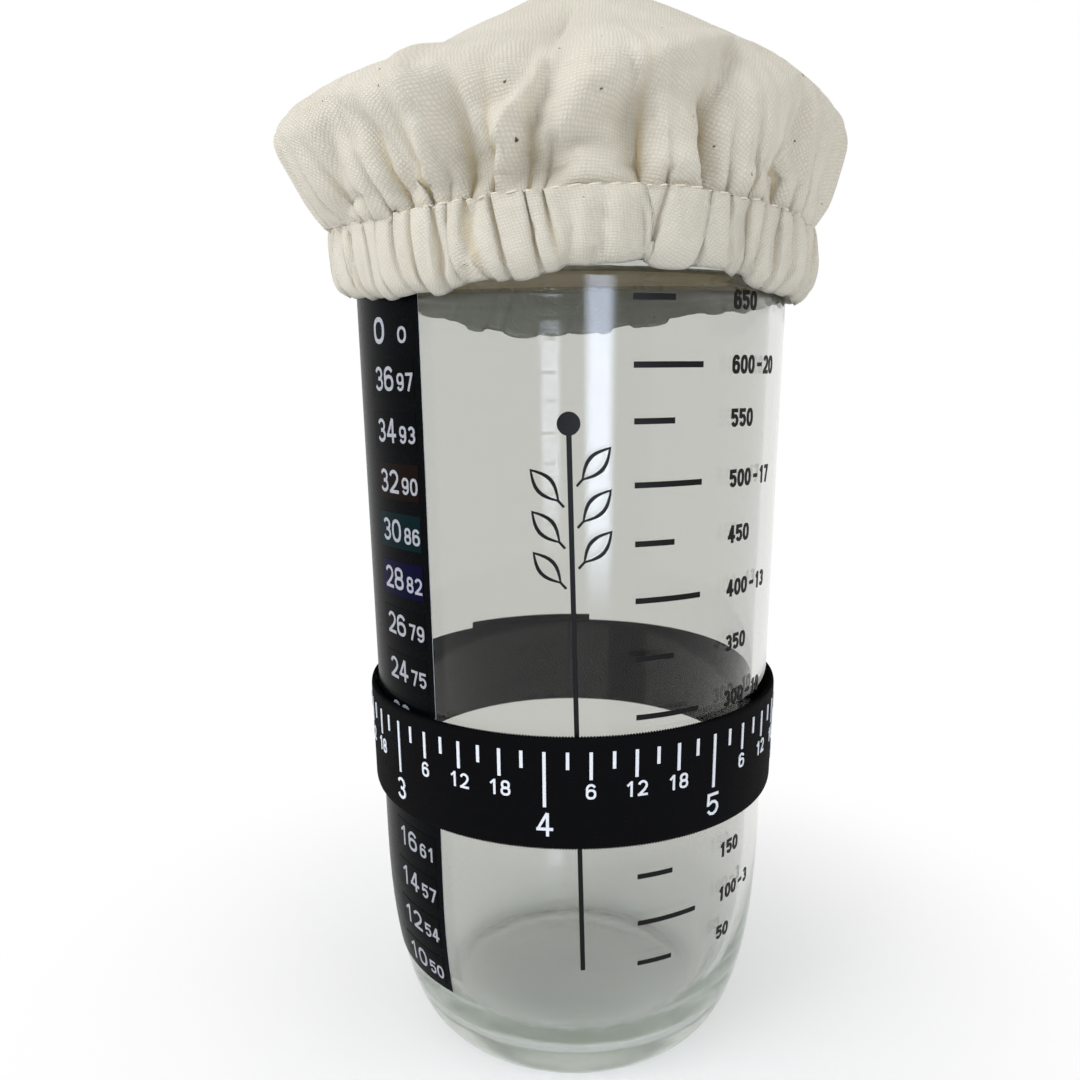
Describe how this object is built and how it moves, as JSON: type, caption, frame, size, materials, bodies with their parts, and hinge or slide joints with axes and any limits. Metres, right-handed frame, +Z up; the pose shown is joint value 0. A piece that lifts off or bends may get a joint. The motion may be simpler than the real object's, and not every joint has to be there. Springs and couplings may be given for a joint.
{
  "type": "sourdough starter jar",
  "caption": "Straight glass jar with a printed volume scale, a thermometer strip, a sliding elastic feeding band and a gathered cloth cover.",
  "frame": {"origin": "middle of the ring that the jar stands on, on the table", "axes": "+Z up along the jar's axis, -Y towards the viewer of the index line, +X to that viewer's right"},
  "size_m": [0.1035, 0.1, 0.2095],
  "materials": {
    "soda_glass": "clear",
    "fired_ink": "satin",
    "adhesive": "clear",
    "black_film": "gloss",
    "liquid_crystal": "gloss",
    "grey_print": "satin",
    "black_webbing": "woven",
    "rubber_thread": "matte",
    "white_print": "matte",
    "black_thread": "twisted",
    "cotton_cloth": "plain weave",
    "white_elastic": "braided",
    "cotton_thread": "twisted"
  },
  "bodies": {
    "jar": {"glass_jar": "soda_glass", "volume_marks": "fired_ink", "volume_numerals": "fired_ink", "index_line": "fired_ink", "leaf_ornament": "fired_ink", "strip_adhesive": "adhesive", "strip_film": "black_film", "crystal_windows": "liquid_crystal", "large_scale_numerals": "grey_print", "small_scale_numerals": "grey_print", "degree_rings": "grey_print"},
    "band_core": {"rubber_threads": "rubber_thread"},
    "band": {"band_webbing": "black_webbing", "band_lap": "black_webbing", "band_ticks": "white_print", "hour_numerals": "white_print", "day_numerals": "white_print", "band_stitching": "black_thread"},
    "cover": {"cover_crown": "cotton_cloth", "cover_hem": "cotton_cloth", "cover_elastic": "white_elastic", "cover_stitching": "cotton_thread"}
  },
  "joints": [
    {"name": "band_slide", "type": "slide", "parent": "jar", "child": "band_core", "axis": [0, 0, 1], "range_m": [-0.018, 0.068]},
    {"name": "band_turn", "type": "hinge", "parent": "band_core", "child": "band", "pos_m": [0, 0, 0.0694], "axis": [0, 0, 1], "continuous": true},
    {"name": "cover_lift", "type": "slide", "parent": "jar", "child": "cover", "axis": [0, 0, 1], "range_m": [0, 0.1]}
  ]
}
